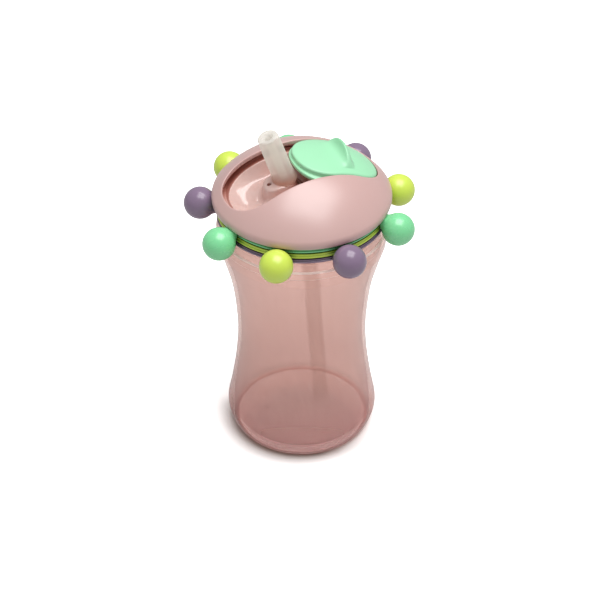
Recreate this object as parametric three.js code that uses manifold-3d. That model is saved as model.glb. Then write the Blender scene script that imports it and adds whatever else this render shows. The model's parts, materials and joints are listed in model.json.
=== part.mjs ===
import * as THREE from "three";
import { mergeVertices } from "three/addons/utils/BufferGeometryUtils.js";
import Module from "manifold-3d";

// A toddler's straw cup: a waisted beaker with a screw-on lid, three bead rings that spin under
// the lid, and a curved cover that slides over a soft folding spout.
// Millimetres, +Z up, origin at the centre of the foot. The cover is open towards +X, and the
// spout leans towards -X.

const TURN_STEPS = 40;

const CUP = {
  footRadius: 31,
  cornerHeight: 11.2,
  wall: 1.8,
  floor: 2.6,
  shoulderRadius: 39.4,
  shoulderZ: 119.6,
  neckRadius: 33.4,
  neckBore: 31.6,
  neckTopZ: 128,
  // Radius and height of the wall where its curve turns, from the foot's corner to the shoulder.
  waist: [
    [36, 11.2],
    [33.5, 25.2],
    [30.8, 46],
    [30.9, 66],
    [33.3, 86],
    [37.4, 101.5],
    [40.2, 111.5],
    [40.1, 116.2],
  ],
};

const THREAD = { pitch: 3.5, turns: 1, halfWidth: 0.55, cupTip: 34.5, lidTip: 33.9, startZ: 123.3 };

const SKIRT = { bore: 35, radius: 37, lipRadius: 37.9, lipHeight: 0.5, footZ: 119.9 };
const ROOF = { undersideZ: 129.9, topZ: 131.9, flangeRadius: 38.7, flangeZ: 129.4, innerRadius: 30.6 };
const DECK = { radius: 47, wall: 2 };

const DOME = { centreZ: 100, radius: 52, wall: 2.1, rimRadius: 41, fillet: 3.8, rimZ: 129.2, bore: 39 };

// Plan outlines along X: each end is half a superellipse that starts at x, reaches length
// further out, and is 2 * half wide.
const SLOT = {
  left: { x: -21, length: 15.7, half: 16.7 },
  right: { x: 21.5, length: 13.9, half: 15.1 },
};
const COVER = {
  left: { x: 11.8, length: 15.4, half: 15.1 },
  right: { x: 21.5, length: 13.5, half: 14.7 },
  flangeLeft: { x: 11.8, length: 16.3, half: 17.4 },
  flangeRight: { x: 21.5, length: 12.4, half: 16.9 },
  flangeWidth: 4,
  outer: 51.8,
  middle: 49.35,
  inner: 47.55,
};
const RIDGE = {
  x: 19.9,
  height: 5.5,
  halfLength: 11.2,
  fullness: 0.8,
  bow: 0.016,
  ramp: 7,
  face: 2.9,
  sink: 1.2,
};
const BASIN = {
  left: { x: -19.5, length: 13.7, half: 15.6 },
  right: { x: -6, length: 9.8, half: 15.2 },
  floorZ: 130.2,
  wall: 1.8,
  steepness: 2.5,
};
const BOSS = {
  left: { x: -12.7, length: 6, half: 6.2 },
  right: { x: -8.5, length: 6, half: 6.2 },
  topZ: 141,
  slopeStartX: -13.5,
  slope: 0.27,
  draft: 1,
  round: 0.8,
};
const OUTLINE_POWER = 2.25;

const SPOUT = {
  x: -8.2,
  lean: THREE.MathUtils.degToRad(18.4),
  length: 25.6,
  baseRadius: 5.65,
  radius: 5.05,
  tipRadius: 4.6,
  tipRound: 1.4,
  bore: 1.8,
  neckRadius: 3.1,
  collarRadius: 4.3,
  nippleRadius: 2.45,
  nippleEndZ: 129,
};
const SPOUT_CAVITY = { radius: 4.7, topZ: 138.8, hole: 3.4 };

const STRAW = {
  radius: 3.9,
  bore: 2.8,
  // X and Z of the centre line: straight on the nipple, then bending out towards the floor.
  line: [
    [-8.2, 136.6],
    [-8.2, 128],
    [-3, 110],
    [4.4, 85],
    [6.8, 52],
    [10.1, 6],
  ],
};

const VENT = { x: -15.8, radius: 0.8, spigot: 1.7, spigotEndZ: 125.4 };
const VALVE = { topZ: 128, bore: 2, radius: 2.9, billZ: 124.9, tipZ: 119.8, tipHalf: 0.8, slit: 0.2 };

const GASKET = { innerRadius: 31.2, outerRadius: 34.6, bottomZ: 128.1, topZ: 129.6 };

const BEAD = { radius: 7.5, circle: 47, planeZ: 123.7, peg: 1, socket: 1.25, pegEnd: 4, socketEnd: 3.7 };
// The collar that narrows from the bead towards its ring. It stays clear of the rings, of the
// cup's shoulder and of the dome's edge.
const COLLAR = {
  wide: 4.3,
  narrow: 3.1,
  start: 6.1,
  end: 12,
  ringRadius: 39.25,
  edgeRadius: 42,
  lowZ: 119.9,
  highZ: 128.9,
};
const RING = { bore: 37.35, radius: 38.9, chamfer: 0.5, pegStart: 38 };
// Each ring's lowest and highest height and the angle of its first bead; the other two beads
// follow at thirds of a turn.
const RINGS = [
  { name: "purple", lowZ: 120.6, highZ: 122.4, angle: 34.6, colour: "#917d98" },
  { name: "lime", lowZ: 123.1, highZ: 125.4, angle: 114.4, colour: "#d0e563" },
  { name: "mint", lowZ: 126.1, highZ: 128.5, angle: 75.8, colour: "#8fe0a8" },
];

const wasm = await Module();
wasm.setup();

function solidOf(geometry) {
  const bare = geometry.clone();
  bare.deleteAttribute("normal");
  bare.deleteAttribute("uv");
  const merged = mergeVertices(bare, 1e-4);
  return new wasm.Manifold(
    new wasm.Mesh({
      numProp: 3,
      vertProperties: merged.attributes.position.array,
      triVerts: new Uint32Array(merged.index.array),
    }),
  );
}

function meshOf(name, solid, look) {
  const { vertProperties, triVerts } = solid.getMesh();
  const geometry = new THREE.BufferGeometry();
  geometry.setAttribute("position", new THREE.BufferAttribute(vertProperties, 3));
  geometry.setIndex(new THREE.BufferAttribute(triVerts, 1));
  geometry.computeVertexNormals();
  const mesh = new THREE.Mesh(geometry, new THREE.MeshStandardMaterial({ metalness: 0, ...look }));
  mesh.name = name;
  return mesh;
}

// Points of an arc in a profile's plane, from one angle to another, in degrees.
function arc(centreR, centreZ, radius, from, to, steps) {
  return Array.from({ length: steps + 1 }, (_, i) => {
    const angle = THREE.MathUtils.degToRad(from + ((to - from) * i) / steps);
    return [centreR + radius * Math.cos(angle), centreZ + radius * Math.sin(angle)];
  });
}

// The arc of a sphere centred on the axis, between two distances from the axis.
function sphereArc(centreZ, radius, fromR, toR, steps) {
  const angle = (r) => THREE.MathUtils.radToDeg(Math.acos(r / radius));
  return arc(0, centreZ, radius, angle(fromR), angle(toR), steps).map(([r, z]) => [Math.max(r, 0), z]);
}

// Turns a profile of [radius, height] about Z. It starts and ends on the axis, or is closed here.
function turned(profile, steps = TURN_STEPS) {
  const points = profile.map(([r, z]) => new THREE.Vector2(r < 1e-6 ? 0 : r, z));
  if (points[0].x > 0) points.push(points[0].clone());
  return solidOf(new THREE.LatheGeometry(points, steps).rotateX(Math.PI / 2));
}

function rod(radius, fromZ, toZ, steps = 20) {
  return turned([[0, fromZ], [radius, fromZ], [radius, toZ], [0, toZ]], steps);
}

// Plan outline from two superellipse ends joined by straight sides, counterclockwise from above.
function planOutline(left, right, grow = 0, steps = 8) {
  const half = (end, from) =>
    Array.from({ length: steps + 1 }, (_, i) => {
      const angle = from + (Math.PI * i) / steps;
      const power = (value) => Math.sign(value) * Math.abs(value) ** (2 / OUTLINE_POWER);
      return new THREE.Vector2(
        end.x + (end.length + grow) * power(Math.cos(angle)),
        (end.half + grow) * power(Math.sin(angle)),
      );
    });
  return [...half(right, -Math.PI / 2), ...half(left, Math.PI / 2)];
}

function prism(outline, fromZ, toZ) {
  const settings = { depth: toZ - fromZ, bevelEnabled: false };
  return solidOf(new THREE.ExtrudeGeometry(new THREE.Shape(outline), settings).translate(0, 0, fromZ));
}

// Skins a stack of rings of Vector3 and closes both ends. Seen from the last ring's side, each
// ring runs counterclockwise.
function loft(rings) {
  const count = rings[0].length;
  const centre = (ring) => ring.reduce((sum, p) => sum.add(p), new THREE.Vector3()).divideScalar(count);
  const points = [...rings.flat(), centre(rings[0]), centre(rings.at(-1))];
  const bottom = rings.length * count;
  const index = [];
  for (let i = 0; i < count; i++) {
    const next = (i + 1) % count;
    for (let k = 0; k < rings.length - 1; k++) {
      const low = k * count;
      const high = low + count;
      index.push(low + i, low + next, high + next, low + i, high + next, high + i);
    }
    index.push(bottom, next, i, bottom + 1, bottom - count + i, bottom - count + next);
  }
  const geometry = new THREE.BufferGeometry().setFromPoints(points);
  geometry.setIndex(index);
  return solidOf(geometry);
}

// A screw ridge: its root is sunk into the wall at root, and its crest is at tip.
function screwRidge(root, tip, startZ) {
  const { pitch, turns, halfWidth } = THREAD;
  const steps = Math.round(TURN_STEPS * turns);
  const crest = halfWidth / 2;
  const rings = Array.from({ length: steps + 1 }, (_, i) => {
    const angle = (2 * Math.PI * i) / TURN_STEPS;
    const z = startZ + (pitch * i) / TURN_STEPS;
    const section = [
      [root, z - halfWidth],
      [root, z + halfWidth],
      [tip, z + crest],
      [tip, z - crest],
    ];
    const turnedIn = tip > root ? section : section.reverse();
    return turnedIn.map(([r, h]) => new THREE.Vector3(r * Math.cos(angle), r * Math.sin(angle), h));
  });
  return loft(rings);
}

function cupBody() {
  const { footRadius, cornerHeight, wall, floor, neckRadius, neckBore, neckTopZ, shoulderZ } = CUP;
  const corner = CUP.waist[0][0] - footRadius;
  const foot = arc(0, 0, 1, -90, 0, 3).map(([across, up]) => [
    footRadius + corner * across,
    cornerHeight * (1 + up),
  ]);
  const waist = new THREE.SplineCurve(CUP.waist.map(([r, z]) => new THREE.Vector2(r, z)));
  const outside = waist.getPoints(9).map((p) => [p.x, p.y]);
  const inside = waist.getPoints(6).map((p) => [p.x - wall, p.y]).reverse();
  const shell = turned([
    [0, 0],
    ...foot.slice(0, -1),
    ...outside,
    [CUP.shoulderRadius, shoulderZ - 0.5],
    [CUP.shoulderRadius - 0.5, shoulderZ],
    [neckRadius, shoulderZ],
    [neckRadius, neckTopZ],
    [neckBore, neckTopZ],
    [neckBore, shoulderZ - wall],
    [CUP.shoulderRadius - 2 * wall, shoulderZ - wall],
    ...inside,
    [footRadius, floor],
    [0, floor],
  ]);
  return shell.add(screwRidge(neckRadius - 0.8, THREAD.cupTip, THREAD.startZ));
}

function lidGasket() {
  const { innerRadius, outerRadius, bottomZ, topZ } = GASKET;
  return turned([
    [innerRadius, bottomZ],
    [outerRadius, bottomZ],
    [outerRadius, topZ],
    [innerRadius, topZ],
  ]);
}

const deckHeight = (x, y) => DOME.centreZ + Math.sqrt(DECK.radius ** 2 - x * x - y * y);

// The basin's bowl as a solid: a shallow floor that curves up to the deck along the rim.
function bowl(grow, drop, topZ) {
  const rim = planOutline(BASIN.left, BASIN.right, grow);
  const middle = new THREE.Vector2((BASIN.left.x + BASIN.right.x) / 2, 0);
  const levels = [0.2, 0.5, 0.75, 0.9, 1];
  const rings = levels.map((level) =>
    rim.map((p) => {
      const rise = (deckHeight(p.x, p.y) - BASIN.floorZ) * level ** BASIN.steepness;
      const at = middle.clone().lerp(p, level);
      return new THREE.Vector3(at.x, at.y, BASIN.floorZ - drop + rise);
    }),
  );
  rings.push(rim.map((p) => new THREE.Vector3(p.x, p.y, topZ)));
  return loft(rings);
}

// The raised island that carries the spout and the vent hole.
function boss() {
  const { left, right, topZ, slopeStartX, slope, draft, round } = BOSS;
  const ring = (grow, z) =>
    planOutline(left, right, grow).map((p) => {
      const fall = z > BASIN.floorZ ? slope * Math.max(0, slopeStartX - p.x) : 0;
      return new THREE.Vector3(p.x, p.y, z - fall);
    });
  return loft([ring(draft, BASIN.floorZ - 1), ring(0, topZ - round), ring(-round, topZ)]);
}

function lidBase() {
  const { bore, radius, lipRadius, lipHeight, footZ } = SKIRT;
  const { undersideZ, topZ, flangeRadius, flangeZ, innerRadius } = ROOF;
  const ceiling = DECK.radius - DECK.wall;
  const shell = turned([
    ...sphereArc(DOME.centreZ, ceiling, 0, innerRadius, 4),
    [innerRadius, undersideZ],
    [bore, undersideZ],
    [bore, footZ],
    [lipRadius, footZ],
    [lipRadius, footZ + lipHeight],
    [radius, footZ + lipHeight],
    [radius, flangeZ],
    [flangeRadius, flangeZ],
    [flangeRadius, topZ - 0.9],
    [flangeRadius - 2.2, topZ],
    ...sphereArc(DOME.centreZ, DECK.radius, 34.3, 0, 7),
  ]);
  const gasketRoom = turned([
    [innerRadius, SKIRT.footZ],
    [lipRadius + 2, SKIRT.footZ],
    [lipRadius + 2, undersideZ],
    [innerRadius, undersideZ],
  ]);
  const midDeck = DECK.radius - DECK.wall / 2;
  const insideDeck = turned([[0, DOME.centreZ], ...sphereArc(DOME.centreZ, midDeck, midDeck, 0, 8)]);
  const tray = bowl(BASIN.wall, BASIN.wall, DOME.centreZ + DECK.radius).intersect(insideDeck);
  const spigot = rod(VENT.spigot, VENT.spigotEndZ, BASIN.floorZ).translate(VENT.x, 0, 0);
  const vent = rod(VENT.radius, VENT.spigotEndZ - 1, BOSS.topZ + 1, 12).translate(VENT.x, 0, 0);
  const cavity = rod(SPOUT_CAVITY.radius, BASIN.floorZ - 4, SPOUT_CAVITY.topZ).translate(SPOUT.x, 0, 0);
  const hole = rod(SPOUT_CAVITY.hole, SPOUT_CAVITY.topZ - 1, BOSS.topZ + 1).translate(SPOUT.x, 0, 0);
  return shell
    .add(tray.subtract(gasketRoom))
    .subtract(bowl(0, 0, DOME.centreZ + DOME.radius))
    .add(boss())
    .add(spigot)
    .subtract(cavity)
    .subtract(hole)
    .subtract(vent)
    .add(screwRidge(bore + 0.6, THREAD.lidTip, THREAD.startZ - THREAD.pitch / 2));
}

function lidDome() {
  const { centreZ, radius, wall, rimRadius, fillet, rimZ, bore } = DOME;
  const filletR = rimRadius - fillet;
  const filletZ = centreZ + Math.sqrt((radius - fillet) ** 2 - filletR ** 2);
  const rimAngle = THREE.MathUtils.radToDeg(Math.asin((rimZ - filletZ) / fillet));
  const crownAngle = THREE.MathUtils.radToDeg(Math.acos(filletR / (radius - fillet)));
  const crownR = radius * Math.cos(THREE.MathUtils.degToRad(crownAngle));
  const shell = turned([
    ...sphereArc(centreZ, radius - wall, 0, bore, 8),
    [bore, rimZ],
    ...arc(filletR, filletZ, fillet, rimAngle, crownAngle, 4),
    ...sphereArc(centreZ, radius, crownR, 0, 9).slice(1),
  ]);
  return shell.subtract(prism(planOutline(SLOT.left, SLOT.right), rimZ, centreZ + radius + 1));
}

// A ball about the cover's turning axis, with its poles on that axis.
const ball = (radius) => solidOf(new THREE.SphereGeometry(radius, 56, 28));

// The thumb ridge: a crescent wave that climbs gently and falls away on the +X side.
function thumbRidge() {
  const { x, height, halfLength, fullness, bow, ramp, face, sink } = RIDGE;
  const across = [-1, -0.7, -0.4, -0.2, 0, 0.3, 0.6, 1];
  const shape = (u) => (u < 0 ? (1 + u) ** 2 : 1 - u ** 1.5);
  const steps = 10;
  const rings = Array.from({ length: steps + 1 }, (_, i) => {
    const y = halfLength * ((2 * i) / steps - 1);
    const crest = x - bow * y * y;
    const swell = height * Math.max(0, 1 - (y / halfLength) ** 2) ** fullness;
    const at = (u, lift) => {
      const px = crest + u * (u < 0 ? ramp : face);
      return new THREE.Vector3(px, y, Math.sqrt(COVER.outer ** 2 - px * px - y * y) + lift);
    };
    const top = across.map((u) => at(u, swell * shape(u) - 0.1));
    const bottom = [...across].reverse().map((u) => at(u, -sink));
    return [...top, ...bottom];
  });
  return loft(rings);
}

function slideCover() {
  const { left, right, flangeLeft, flangeRight, flangeWidth, outer, middle, inner } = COVER;
  const shellOf = (low, high, outline) => {
    const column = prism(outline, 0, outer + 1);
    return column.intersect(ball(high)).subtract(ball(low));
  };
  const plate = shellOf(middle - 0.2, outer, planOutline(left, right));
  const hollow = prism(planOutline(flangeLeft, flangeRight, -flangeWidth), 0, outer);
  const flange = shellOf(inner, middle, planOutline(flangeLeft, flangeRight)).subtract(hollow);
  return plate.add(flange).add(thumbRidge());
}

function strawSpout() {
  const { lean, length, baseRadius, radius, tipRadius, tipRound, bore, neckRadius } = SPOUT;
  const seat = BOSS.topZ + 0.15;
  const tipArc = arc(tipRadius - tipRound, length - tipRound, tipRound, 0, 90, 3);
  const leanDegrees = THREE.MathUtils.radToDeg(lean);
  const leaning = (solid) => solid.rotate([0, -leanDegrees, 0]).translate(SPOUT.x, 0, BOSS.topZ);
  const tube = turned(
    [
      [0, -3],
      [baseRadius, -3],
      [baseRadius, 1.5],
      [radius, 6],
      [radius, length * 0.6],
      ...tipArc,
      [0, length],
    ],
    24,
  );
  const below = solidOf(new THREE.BoxGeometry(40, 40, 20).translate(SPOUT.x, 0, seat - 10));
  const upright = (solid) => solid.translate(SPOUT.x, 0, 0);
  const collarTop = SPOUT_CAVITY.topZ - 0.3;
  const root = turned(
    [
      [0, SPOUT.nippleEndZ],
      [SPOUT.nippleRadius, SPOUT.nippleEndZ],
      [SPOUT.nippleRadius, collarTop - 1.4],
      [SPOUT.collarRadius, collarTop - 1.4],
      [SPOUT.collarRadius, collarTop],
      [neckRadius, collarTop],
      [neckRadius, seat + 1],
      [0, seat + 1],
    ],
    24,
  );
  return leaning(tube)
    .subtract(below)
    .add(upright(root))
    .subtract(leaning(rod(bore, -0.5, length + 1, 12)))
    .subtract(upright(rod(bore, SPOUT.nippleEndZ - 1, BOSS.topZ + 0.5, 12)));
}

function strawTube() {
  const circle = (radius) => {
    const path = new THREE.Path().absarc(0, 0, radius, 0, 2 * Math.PI);
    return path.getPoints(6).slice(0, -1);
  };
  const section = new THREE.Shape(circle(STRAW.radius));
  section.holes.push(new THREE.Path(circle(STRAW.bore)));
  const line = new THREE.CatmullRomCurve3(STRAW.line.map(([x, z]) => new THREE.Vector3(x, 0, z)));
  return solidOf(new THREE.ExtrudeGeometry(section, { steps: 14, extrudePath: line }));
}

// A duckbill: a round cap that narrows to a flat lip with a slit.
function ventValve() {
  const { topZ, bore, radius, billZ, tipZ, tipHalf, slit } = VALVE;
  const oval = (halfX, halfY, z) => {
    const path = new THREE.Path().absellipse(0, 0, halfX, halfY, 0, 2 * Math.PI);
    const points = path.getPoints(6).slice(0, -1);
    return points.map((p) => new THREE.Vector3(p.x, p.y, z));
  };
  const outside = loft([
    oval(tipHalf, radius, tipZ),
    oval(radius, radius, billZ),
    oval(radius, radius, topZ),
  ]);
  const inside = loft([
    oval(slit, bore, tipZ - 0.1),
    oval(bore, bore, billZ),
    oval(bore, bore, topZ + 1),
  ]);
  return outside.subtract(inside).translate(VENT.x, 0, 0);
}

// A peg's length and downward tilt, from its ring to the bead's centre.
function pegReach(ring) {
  const run = BEAD.circle - RING.pegStart;
  const fall = (ring.lowZ + ring.highZ) / 2 - BEAD.planeZ;
  return { length: Math.hypot(run, fall), tilt: Math.atan2(fall, run) };
}

// Lays an upright solid along a peg: about the bead's centre, with the ring on the -X side.
function alongPeg(upright, ring) {
  const { tilt } = pegReach(ring);
  return upright.rotate([0, -90, 0]).rotate([0, THREE.MathUtils.radToDeg(tilt), 0]);
}

function peg(radius, fromCentre, ring) {
  return alongPeg(rod(radius, fromCentre, pegReach(ring).length, 12), ring);
}

// The room no collar may enter, with the bead's centre at the origin.
function roomInside() {
  const { ringRadius, edgeRadius, lowZ, highZ } = COLLAR;
  return rod(ringRadius, lowZ - 10, highZ + 10, 60)
    .add(rod(edgeRadius, lowZ - 10, lowZ, 60))
    .add(rod(edgeRadius, highZ, highZ + 10, 60))
    .translate(-BEAD.circle, 0, -BEAD.planeZ);
}

function bead(ring) {
  const { wide, narrow, start, end } = COLLAR;
  const cone = turned(
    [
      [0, 0],
      [wide - 0.1, start - 0.2],
      [wide, start],
      [narrow, BEAD.radius + 1.1],
      [narrow, end],
      [0, end],
    ],
    16,
  );
  return solidOf(new THREE.SphereGeometry(BEAD.radius, 16, 10).rotateX(Math.PI / 2))
    .add(alongPeg(cone, ring).subtract(roomInside()))
    .subtract(peg(BEAD.socket, BEAD.socketEnd, ring));
}

function beadRing(ring) {
  const { bore, radius, chamfer } = RING;
  const low = ring.lowZ - BEAD.planeZ;
  const high = ring.highZ - BEAD.planeZ;
  const hoop = turned([
    [bore, low],
    [radius - chamfer, low],
    [radius, low + chamfer],
    [radius, high - chamfer],
    [radius - chamfer, high],
    [bore, high],
  ]);
  const arm = peg(BEAD.peg, BEAD.pegEnd, ring).translate(BEAD.circle, 0, 0);
  return [0, 120, 240].reduce((solid, turn) => solid.add(arm.rotate([0, 0, turn])), hoop);
}

// A ring and its three beads, in a group that turns about Z.
function beadRingGroup(ring) {
  const group = new THREE.Group();
  const look = { color: ring.colour, roughness: 0.35 };
  group.position.z = BEAD.planeZ;
  group.rotation.z = THREE.MathUtils.degToRad(ring.angle);
  group.add(meshOf("ring_" + ring.name, beadRing(ring), look));
  [0, 1, 2].forEach((i) => {
    const arm = new THREE.Group();
    arm.rotation.z = (2 * Math.PI * i) / 3;
    const mesh = meshOf("bead_" + ring.name + "_" + (i + 1), bead(ring), look);
    mesh.position.x = BEAD.circle;
    arm.add(mesh);
    group.add(arm);
  });
  return group;
}

const LOOKS = {
  cup: { color: "#c8a498", roughness: 0.3, transparent: true, opacity: 0.75 },
  lid: { color: "#d9a9a0", roughness: 0.2 },
  dome: { color: "#d8b3ad", roughness: 0.45 },
  cover: { color: "#aef2c4", roughness: 0.4 },
  silicone: { color: "#d2cabf", roughness: 0.5 },
  seal: { color: "#ece8e2", roughness: 0.6 },
};

const cup = new THREE.Group();
cup.add(meshOf("cup_body", cupBody(), LOOKS.cup));

const lid = new THREE.Group();
lid.add(
  meshOf("lid_gasket", lidGasket(), LOOKS.seal),
  meshOf("lid_base", lidBase(), LOOKS.lid),
  meshOf("lid_dome", lidDome(), LOOKS.dome),
  meshOf("straw_spout", strawSpout(), LOOKS.silicone),
  meshOf("straw_tube", strawTube(), LOOKS.silicone),
  meshOf("vent_valve", ventValve(), LOOKS.seal),
);

const cover = new THREE.Group();
cover.position.z = DOME.centreZ;
cover.add(meshOf("slide_cover", slideCover(), LOOKS.cover));
lid.add(cover);

RINGS.forEach((ring) => lid.add(beadRingGroup(ring)));
cup.add(lid);

export default cup;
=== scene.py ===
import json
import math

import bmesh
import bpy
from mathutils import Matrix, Vector

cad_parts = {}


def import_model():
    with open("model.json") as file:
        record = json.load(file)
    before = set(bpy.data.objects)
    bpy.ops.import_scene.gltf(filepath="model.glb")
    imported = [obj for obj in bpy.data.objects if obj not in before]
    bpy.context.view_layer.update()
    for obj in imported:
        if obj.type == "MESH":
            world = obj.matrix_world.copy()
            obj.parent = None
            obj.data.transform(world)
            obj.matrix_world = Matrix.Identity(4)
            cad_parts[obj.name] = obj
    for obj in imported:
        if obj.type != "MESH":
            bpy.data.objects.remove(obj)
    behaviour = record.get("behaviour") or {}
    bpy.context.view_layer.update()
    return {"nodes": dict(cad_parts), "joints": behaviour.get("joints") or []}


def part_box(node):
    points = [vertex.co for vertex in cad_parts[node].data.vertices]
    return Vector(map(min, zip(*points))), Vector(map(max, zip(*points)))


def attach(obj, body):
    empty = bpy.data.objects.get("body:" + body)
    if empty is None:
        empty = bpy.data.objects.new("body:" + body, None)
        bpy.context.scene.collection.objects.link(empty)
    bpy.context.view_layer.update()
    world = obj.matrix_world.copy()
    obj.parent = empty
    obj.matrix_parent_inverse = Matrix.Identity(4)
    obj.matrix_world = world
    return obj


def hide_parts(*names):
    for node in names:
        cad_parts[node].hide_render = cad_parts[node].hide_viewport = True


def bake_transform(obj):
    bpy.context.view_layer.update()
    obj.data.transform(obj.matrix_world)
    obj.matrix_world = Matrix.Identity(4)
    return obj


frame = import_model()

# Sizes are in millimetres and become metres when a mesh or a material is made.
MM = 0.001


def corners(node):
    """Lowest and highest corner of a CAD node, in millimetres."""
    low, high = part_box(node)
    return low / MM, high / MM


def joint_place(name):
    """Where a joint of the frame sits, in millimetres."""
    joint = next(j for j in frame["joints"] if j["name"] == name)
    return [c / MM for c in joint["pos_m"]]


# ---------------------------------------------------------------- driving sizes

ROUND_STEPS = 192
PLAN_STEPS = 320

CUP_TOP = corners("cup_body")[1].z
DOME_BOTTOM = corners("lid_dome")[0].z
LID_BOTTOM = corners("lid_base")[0].z
CENTRE_Z = joint_place("cover_slide")[2]
BEAD_Z = joint_place("ring_mint_turn")[2]

# The cup. A low band stands out just under its shoulder, and a fine groove runs round its foot.
FOOT_R = 31.0
WALL = 1.8
FLOOR = 2.8
NECK = {"radius": 33.4, "bore": 31.6}
SHOULDER_Z = LID_BOTTOM - 0.3
BAND = {"top": 114.9, "low": 111.4, "out": 0.45}
FOOT_GROOVE = {"z": 1.7, "half": 0.45, "depth": 0.35}
# Heights of the thin edges where the clear wall is painted lighter and glows: painted highlights over small
# steps that also catch the light.
PAINTED_HIGHLIGHT_HEIGHTS = (
    (BAND["top"] - 0.35, BAND["top"] + 0.32),
    (BAND["low"] - 0.3, BAND["low"] + 0.1),
    (FOOT_GROOVE["z"] - 0.4, FOOT_GROOVE["z"] + 0.4),
)

# Plans along X are given as (centre, length, half width) of the left end and of the right end.
DOME = {"radius": 52.0, "wall": 2.1, "fillet": 3.8, "bore": 39.0, "rim": 41.0,
        "edge": 0.75, "low_edge": 0.35}
SLOT = ((-21, 15.7, 16.7), (21.5, 13.9, 15.1))

# The inner lid. The basin is lowest at its left end and climbs along both sides of the boss.
BASIN = {"plan": ((-19.5, 13.7, 15.6), (-6, 9.8, 15.2)),
         "floor": 130.2, "climb": 6.0, "moat": 1.7, "wall": 3.2, "edge": 0.7}
BOSS = {"plan": ((-12.7, 6, 6.2), (-8.5, 6, 6.2)), "top": 141.0, "fillet": 2.6, "edge": 1.1, "draft": 0.35}
BOSS_CENTRE = (-10.6, 0)
DECK = {"radius": 47.0, "end": 34.3, "run_out": 1.5}
ROOF = {"radius": 38.7, "inner": 36.0, "top": 131.9, "bottom": 129.4}
SKIRT = {"outer": 37.0, "bead": 37.9, "inner": 35.0}
UNDER = {"bowl": 30.2, "radius": 30.6, "low": 129.95, "high": 133.5}
VENT = {"x": -15.8, "y": 0.004, "turn": 0.021, "radius": 1.0, "bottom": 137.5, "top": 139.9}

# The sliding cover, with the flange that runs under the dome.
COVER = ((11.8, 15.4, 15.1), (21.5, 13.5, 14.7))
FLANGE = ((11.8, 16.4, 17.4), (21.5, 12.4, 16.9))
COVER_CENTRE = (14, 0)
COVER_RADII = {"outer": 51.8, "middle": 49.35, "inner": 47.55}
COVER_EDGE = 0.9
FLANGE_LIP = 0.5
FLANGE_WIDTH = 4.0
RIDGE = {"height": 6.3, "half_length": 11.5, "fullness": 0.75, "x": 19.9, "bow": 0.012,
         "crown": 0.6, "dip": 0.07, "ramp": 11.0, "ramp_power": 5.5, "face": 2.4}

SPOUT = {"base": (-8.2, 0, BOSS["top"]), "lean": -18.4, "length": 25.8,
         "radius": 5.0, "bore": 1.8, "collar": 5.9}
# The straw's bends are (x, height).
STRAW = {"radius": 3.9, "bore": 3.0, "bends": ((-8.2, 128), (-3, 110), (4.4, 85), (6.8, 52))}
VALVE = {"bore": 2.0, "slit": 0.2, "lips": 0.75, "head": 3.1}
GASKET_BORE = 31.2

# The bead rings. Each hoop's bottom and top are its two heights.
HOOP = {"radius": 38.9, "bore": 37.35, "groove": 0.5}
HOOP_HEIGHTS = {"mint": (126.1, 128.5), "lime": (123.1, 125.4), "purple": (120.4, 122.4)}
BEAD = {"radius": 7.5, "neck_start": 37, "neck": 3.1, "neck_end": 12.0, "socket": 1.15, "socket_end": 3.9}
PEG = {"radius": 1.0, "start": 4.1, "end": 38.0}
# Radii and heights that a bead's neck keeps clear of.
CORE = {"cup": 41.6, "shoulder": 119.9, "hoops": 39.25, "dome_edge": 128.9, "dome": 41.8}

# The setting. Places of the camera and the light are in metres.
FLOOR_REACH = 4000
# Middle of the pink light painted on the floor under the cup.
FOOT_GLOW = (-2.0, -9.5, 0)
LIGHT_SIDE = (0.927, -0.376, 0)
# Colour of the painted contact shadow.
PAINTED_SHADOW_GREY = (0.42, 0.37, 0.34)
CAMERA = {"place": (-0.2568, -0.6333, 0.6085), "aim": (-0.00078, 0.00032, 0.06944), "lens": 110.3}
SOFTBOX = {"place": (0.09, -0.07, 0.95), "aim": (0, 0, 0.1), "size": 0.68, "power": 7.4}
SKY_LIGHT = 0.42
# As bright as the far floor, so that no horizon shows through the cup.
BACKDROP_LIGHT = 1.9


# ---------------------------------------------------------------- outlines and skins

def lerp(a, b, t):
    return a + (b - a) * t


def smooth(t):
    t = max(0.0, min(1.0, t))
    return t * t * (3 - 2 * t)


def rounded(points, steps=6, closed=False):
    """A polyline of (x, y, corner radius) with its corners turned into arcs."""
    out = []
    count = len(points)
    for i, (x, y, radius) in enumerate(points):
        at = Vector((x, y))
        is_end = not closed and i in (0, count - 1)
        if radius <= 0 or is_end:
            out.append((x, y))
            continue
        before = Vector(points[i - 1][:2]) - at
        after = Vector(points[(i + 1) % count][:2]) - at
        half = before.angle(after) / 2
        reach = min(radius / math.tan(half), 0.499 * min(before.length, after.length))
        radius = reach * math.tan(half)
        centre = at + (before.normalized() + after.normalized()).normalized() * radius / math.sin(half)
        start = at + before.normalized() * reach - centre
        sweep = start.angle_signed(at + after.normalized() * reach - centre)
        for k in range(steps + 1):
            arm = start.copy()
            arm.rotate(Matrix.Rotation(-sweep * k / steps, 2))
            out.append(tuple(centre + arm))
    return out


def spline(points, steps):
    """Catmull-Rom through points of any dimension."""
    points = [Vector(p) for p in points]
    ends = [points[0] * 2 - points[1]] + points + [points[-1] * 2 - points[-2]]
    out = []
    for i in range(1, len(ends) - 2):
        p0, p1, p2, p3 = ends[i - 1:i + 3]
        for k in range(steps):
            t = k / steps
            out.append(0.5 * (2 * p1 + (p2 - p0) * t + (2 * p0 - 5 * p1 + 4 * p2 - p3) * t * t
                              + (3 * p1 - p0 - 3 * p2 + p3) * t ** 3))
    return [tuple(p) for p in out + [points[-1]]]


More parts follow.
